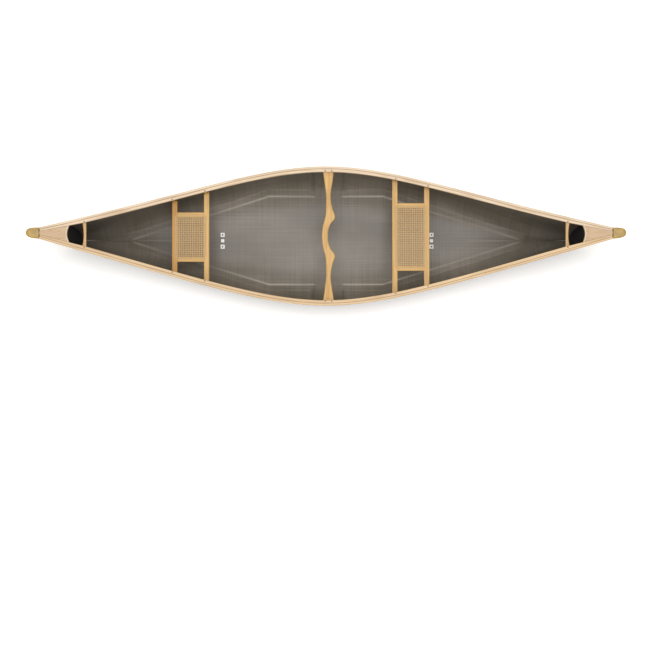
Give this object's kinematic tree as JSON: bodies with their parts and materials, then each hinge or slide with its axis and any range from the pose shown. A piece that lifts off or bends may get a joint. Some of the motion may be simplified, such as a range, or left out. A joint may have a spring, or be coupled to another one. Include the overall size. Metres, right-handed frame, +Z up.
{
  "type": "canoe",
  "caption": "Open tandem canoe: dark laminated shell with flared ends, ash gunwales, caned seats fore and aft, a carved carrying yoke and small end decks.",
  "frame": {"origin": "on the floor under the middle of the keel, at the bottom centre of the bounding box", "axes": "+X to the bow along the length, +Y to port across the beam, +Z up"},
  "size_m": [4.27, 1.0006, 0.59],
  "materials": {
    "laminate": "clear-coated dark woven laminate",
    "laminate_lining": "satin woven laminate over a foam core",
    "ash": "oiled pale ash",
    "seat_wood": "varnished honey-coloured wood",
    "cane": "woven cane",
    "resin_cap": "yellow fibre and resin",
    "foam": "dark closed-cell foam",
    "steel": "stainless",
    "brass_screws": "dull brass",
    "pad_plastic": "white plastic"
  },
  "bodies": {
    "root": {"hull_stern_end": "laminate", "hull_stern_quarter": "laminate", "hull_middle": "laminate", "hull_bow_quarter": "laminate", "hull_bow_end": "laminate", "bottom_core": "laminate_lining", "side_rib_port": "laminate_lining", "side_rib_starboard": "laminate_lining", "inwale_port": "ash", "inwale_starboard": "ash", "outwale_port": "ash", "outwale_starboard": "ash", "outwale_screws_port": "brass_screws", "outwale_screws_starboard": "brass_screws", "bow_deck": "ash", "stern_deck": "ash", "bow_end_cap": "resin_cap", "stern_end_cap": "resin_cap", "bow_float_block": "foam", "stern_float_block": "foam", "bow_carry_thwart": "ash", "stern_carry_thwart": "ash", "bow_carry_bolts": "steel", "stern_carry_bolts": "steel", "bow_carry_nuts": "steel", "stern_carry_nuts": "steel", "yoke": "seat_wood", "yoke_bolts": "steel", "yoke_nuts": "steel", "bow_seat_front_rail": "seat_wood", "bow_seat_rear_rail": "seat_wood", "bow_seat_port_rail": "seat_wood", "bow_seat_starboard_rail": "seat_wood", "bow_seat_cane": "cane", "bow_seat_spline": "cane", "bow_seat_dowels": "seat_wood", "bow_seat_bolts": "steel", "bow_seat_nuts": "steel", "stern_seat_front_rail": "seat_wood", "stern_seat_rear_rail": "seat_wood", "stern_seat_port_rail": "seat_wood", "stern_seat_starboard_rail": "seat_wood", "stern_seat_cane": "cane", "stern_seat_spline": "cane", "stern_seat_dowels": "seat_wood", "stern_seat_bolts": "steel", "stern_seat_nuts": "steel", "bow_floor_pads": "pad_plastic", "stern_floor_pads": "pad_plastic", "bow_pad_studs": "steel", "stern_pad_studs": "steel"}
  },
  "joints": []
}
